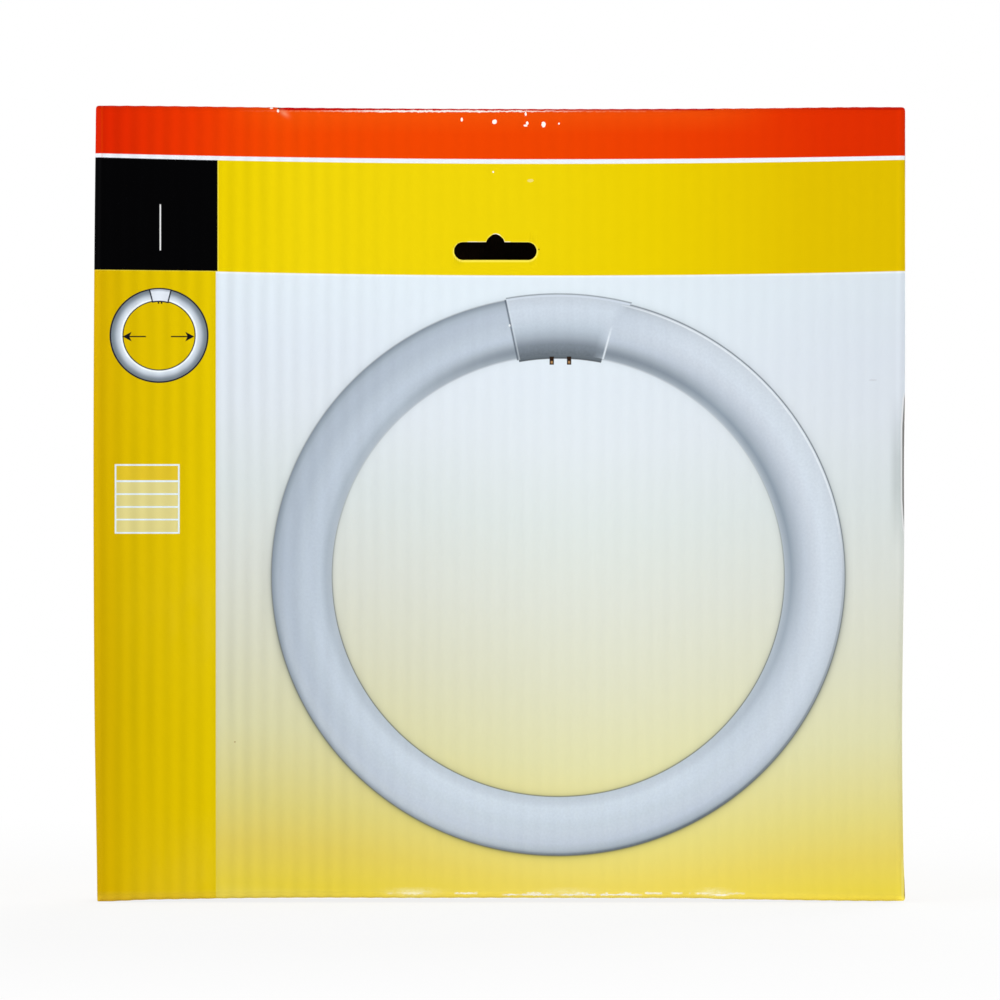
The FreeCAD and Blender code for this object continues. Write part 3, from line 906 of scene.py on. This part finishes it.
def lay_fold_light(p):
    """Painted light: the print is made brighter on the round bottom and right folds, and a touch paler at
    the bottom, so that it looks as bright there as on the flat board.
    """
    from_edge = p.z - 1.85 + p.x * p.x * 6e-5
    p.lay(from_edge.under(1.2, 2.4), (286, 286, 286), "MULTIPLY")
    p.lay(from_edge.under(2.0, 4.0) * 0.03, (255, 252, 235))
    p.lay(p.x.over(156.9, 3.5), (271, 271, 271), "MULTIPLY")


def finish_print(p):
    """Satin ink, with the fine grain of the paper under it."""
    return p.finish(0.45, 0.015, p.noise(1.1, 2.0), 0.012)


def finish_front(p):
    """Painted shade of the liner's relief: faint dark bands between the tips of the flutes, uneven, most at
    the left.
    """
    uneven = p.noise(16, 3.0, (1, 1, 0.25), 8.0) - 0.5
    wave = ((p.x + uneven * 2.0) * (2 * math.pi / PITCH)).math("COSINE")
    strength = (p.x.under(-74, 100) * 0.35 + 0.03) * (uneven * 1.6 + 1.0)
    # Painted shade: the bands darken the board between the tips of the flutes
    p.lay((1.0 - wave) * strength, (242, 242, 242), "MULTIPLY")
    return finish_print(p)


def head_print():
    """Down to the top of the panel: header, white line, black block and yellow band."""
    p = Print("head_print")
    lay_panel(p)
    panel, line = p.color, above_line(p, BAND_FOOT)
    p.color = p.ramp_across(YELLOW_INK_AND_SHEEN)
    low = line.under(0.0) * p.x.over(PANEL_LEFT)
    p.lay(low, panel)
    p.lay(low * line.over(-0.8) * 0.5, (246, 249, 252))
    lay_block(p)
    lay_header(p)
    lay_fold_light(p)
    lay_slot_rim(p)
    lay_top_wear(p)
    p.lay(p.x.between(-156.2, -155.5, 0.5) * p.z.over(292) * 0.15, (244, 90, 0))
    p.lay(p.x.over(159.1, 0.3) * p.z.between(284, 308.5, 4) * 0.7, (140, 84, 52))
    return finish_front(p)


def column_print():
    """The yellow column under the block, with the small drawing and the table."""
    p = Print("column_print")
    lay_panel(p)
    panel = p.color
    p.color = p.ramp_across(YELLOW_INK_AND_SHEEN)
    # Painted shade: the column is a little darker round 85 mm up, and more so at its left
    faded = p.z.near(85, 75)
    p.lay(faded, (250, 251, 255), "MULTIPLY")
    p.lay(faded * p.x.under(-145, 24), (250, 251, 255), "MULTIPLY")
    # Painted highlight: a faint pale sheen round 112 mm up and near the bottom, towards the column's right
    painted_sheen = (p.z.near(112, 24) * 0.5 + p.z.under(22, 30)) * p.x.over(-135, 36)
    p.lay(painted_sheen * p.noise(7, 3.0, (1, 1, 0.4), 6.0).over(0.4, 0.4) * 0.014, (255, 250, 230))
    across, rise, reach = from_ring(p, SMALL_X, SMALL_Z, SMALL_SQUASH)
    lay_small_ring(p, across, rise, reach)
    lay_arrows(p, across, rise)
    lay_table(p)
    p.lay(p.x.over(PANEL_LEFT), panel)
    lay_fold_light(p)
    return finish_front(p)


def panel_print():
    """The panel round the ring, with its worn folds and a small brown speck."""
    p = Print("panel_print")
    lay_panel(p)
    p.lay(spots(p, [BROWN_SPECK]) * 0.7, (150, 112, 70))
    lay_fold_light(p)
    lay_low_wear(p)
    lay_right_crush_and_shade(p)
    return finish_front(p)


def ring_print():
    """The part of the panel that has the ring lamp, with the fine grain of its picture."""
    p = Print("ring_print")
    lay_panel(p)
    across, rise, reach = from_ring(p, RING_X, RING_Z, RING_SQUASH)
    share = (reach - RING_INNER) / (RING_OUTER - RING_INNER)
    lay_ring(p, across, rise, reach, share)
    lay_cap(p, across, rise, reach, share)
    lay_pins(p, across, rise)
    grain = p.noise(1.0, 2.0, seed=3.0).over(0.5, 0.4)
    p.lay(reach.between(RING_INNER, RING_OUTER) * grain * 0.13, (150, 162, 178))
    return finish_front(p)


def wrapped_print():
    """The sides, top, bottom and back: the header's orange above, yellow below, and a white line."""
    p = Print("wrapped_print")
    p.color = p.ramp_across(WRAPPED_INK_AND_SHEEN)
    p.lay(p.z.over(289.2), (236, 241, 248))
    p.lay(p.z.over(291.0), (232, 56, 0))
    return finish_print(p)


def board_material(name, dark, light, specular):
    """Unprinted kraft board, with fibres."""
    p = Print(name)
    fibres = p.noise(0.5, 5.0, (1, 1, 0.25), 4.0)
    p.color = p.ramp(fibres * 0.7 + p.noise(9, 3.0) * 0.3, [(0.3, dark), (0.7, light)])
    return p.finish(0.8, specular, fibres, 0.05)


def build_materials(carton):
    """Gives the carton's mesh its materials, in the order of its slots."""
    for material in (
        head_print(),
        column_print(),
        panel_print(),
        ring_print(),
        wrapped_print(),
        board_material("raw_board", (150, 112, 74), (186, 150, 108), 0.2),
        # Painted shade: the inside board is given a far darker brown than the raw edges, so that the hollow
        # and the open flutes look as dark as shade makes them
        board_material("inside_board_shaded_dark", (52, 38, 25), (74, 55, 37), 0.05),
    ):
        carton.data.materials.append(material)


def build_floor():
    """One pale sheet, white to the camera apart from the carton's soft shadow."""
    mesh = bpy.data.meshes.new("floor")
    signs = ((-1, -1), (1, -1), (1, 1), (-1, 1))
    corners = [(x * FLOOR_HALF, y * FLOOR_HALF, -FLOOR_DROP) for x, y in signs]
    mesh.from_pydata(corners, [], [(0, 1, 2, 3)])
    sheet = bpy.data.objects.new("floor", mesh)
    bpy.context.scene.collection.objects.link(sheet)
    material = bpy.data.materials.new("floor")
    material.use_nodes = True
    tree = material.node_tree
    matt = tree.nodes["Principled BSDF"]
    matt.inputs["Base Color"].default_value = (0.92, 0.92, 0.92, 1)
    matt.inputs["Roughness"].default_value = 0.9
    glow = tree.nodes.new("ShaderNodeEmission")
    path = tree.nodes.new("ShaderNodeLightPath")
    seen = either(Field(tree, path.outputs["Is Camera Ray"]), Field(tree, path.outputs["Is Glossy Ray"]))
    place = tree.nodes.new("ShaderNodeTexCoord").outputs["Object"]
    length = tree.nodes.new("ShaderNodeVectorMath")
    length.operation = "LENGTH"
    tree.links.new(place, length.inputs[0])
    far = Field(tree, length.outputs["Value"]).over(0.55, 0.5)
    mix = tree.nodes.new("ShaderNodeMixShader")
    tree.links.new((seen * (far * 0.15 + 0.85)).socket, mix.inputs[0])
    tree.links.new(matt.outputs[0], mix.inputs[1])
    tree.links.new(glow.outputs[0], mix.inputs[2])
    tree.links.new(mix.outputs[0], tree.nodes["Material Output"].inputs["Surface"])
    mesh.materials.append(material)


def build_world():
    """An even pale light from all round, which the camera sees as plain white."""
    world = bpy.data.worlds.new("studio")
    world.use_nodes = True
    tree = world.node_tree
    plain = tree.nodes["Background"]
    plain.inputs["Strength"].default_value = SKY_STRENGTH
    plain.inputs["Color"].default_value = (1, 1, 1, 1)
    white = tree.nodes.new("ShaderNodeBackground")
    white.inputs["Color"].default_value = (1, 1, 1, 1)
    path = tree.nodes.new("ShaderNodeLightPath")
    camera_ray = Field(tree, path.outputs["Is Camera Ray"])
    seen = either(camera_ray, Field(tree, path.outputs["Is Transmission Ray"]))
    mix = tree.nodes.new("ShaderNodeMixShader")
    tree.links.new(seen.socket, mix.inputs[0])
    tree.links.new(plain.outputs[0], mix.inputs[1])
    tree.links.new(white.outputs[0], mix.inputs[2])
    tree.links.new(mix.outputs[0], tree.nodes["World Output"].inputs["Surface"])
    bpy.context.scene.world = world


def add_lamp(name, place, side, power):
    """A soft square lamp that faces the middle of the carton."""
    lamp = bpy.data.lights.new(name, "AREA")
    lamp.size, lamp.energy = side, power
    holder = bpy.data.objects.new(name, lamp)
    holder.location = place
    toward = Vector((0, 0, HEIGHT / 2 * MM)) - holder.location
    holder.rotation_euler = toward.to_track_quat("-Z", "Y").to_euler()
    bpy.context.scene.collection.objects.link(holder)


def build_camera():
    """The camera stands straight in front of the carton, so far off that its sides don't show."""
    camera = bpy.data.cameras.new("camera")
    camera.sensor_width = SENSOR
    camera.lens = SENSOR * DISTANCE / (PICTURE_WIDE / PIXELS_PER_MM)
    camera.clip_end = 30
    holder = bpy.data.objects.new("camera", camera)
    holder.location = (VIEW_X * MM, (FRONT - DISTANCE) * MM, VIEW_Z * MM)
    holder.rotation_euler = (math.radians(90), 0, 0)
    bpy.context.scene.collection.objects.link(holder)
    bpy.context.scene.camera = holder


carton = build_carton()
build_materials(carton)
build_floor()
build_world()
for lamp in LAMPS:
    add_lamp(*lamp)
build_camera()
bpy.context.scene.view_settings.view_transform = "Standard"
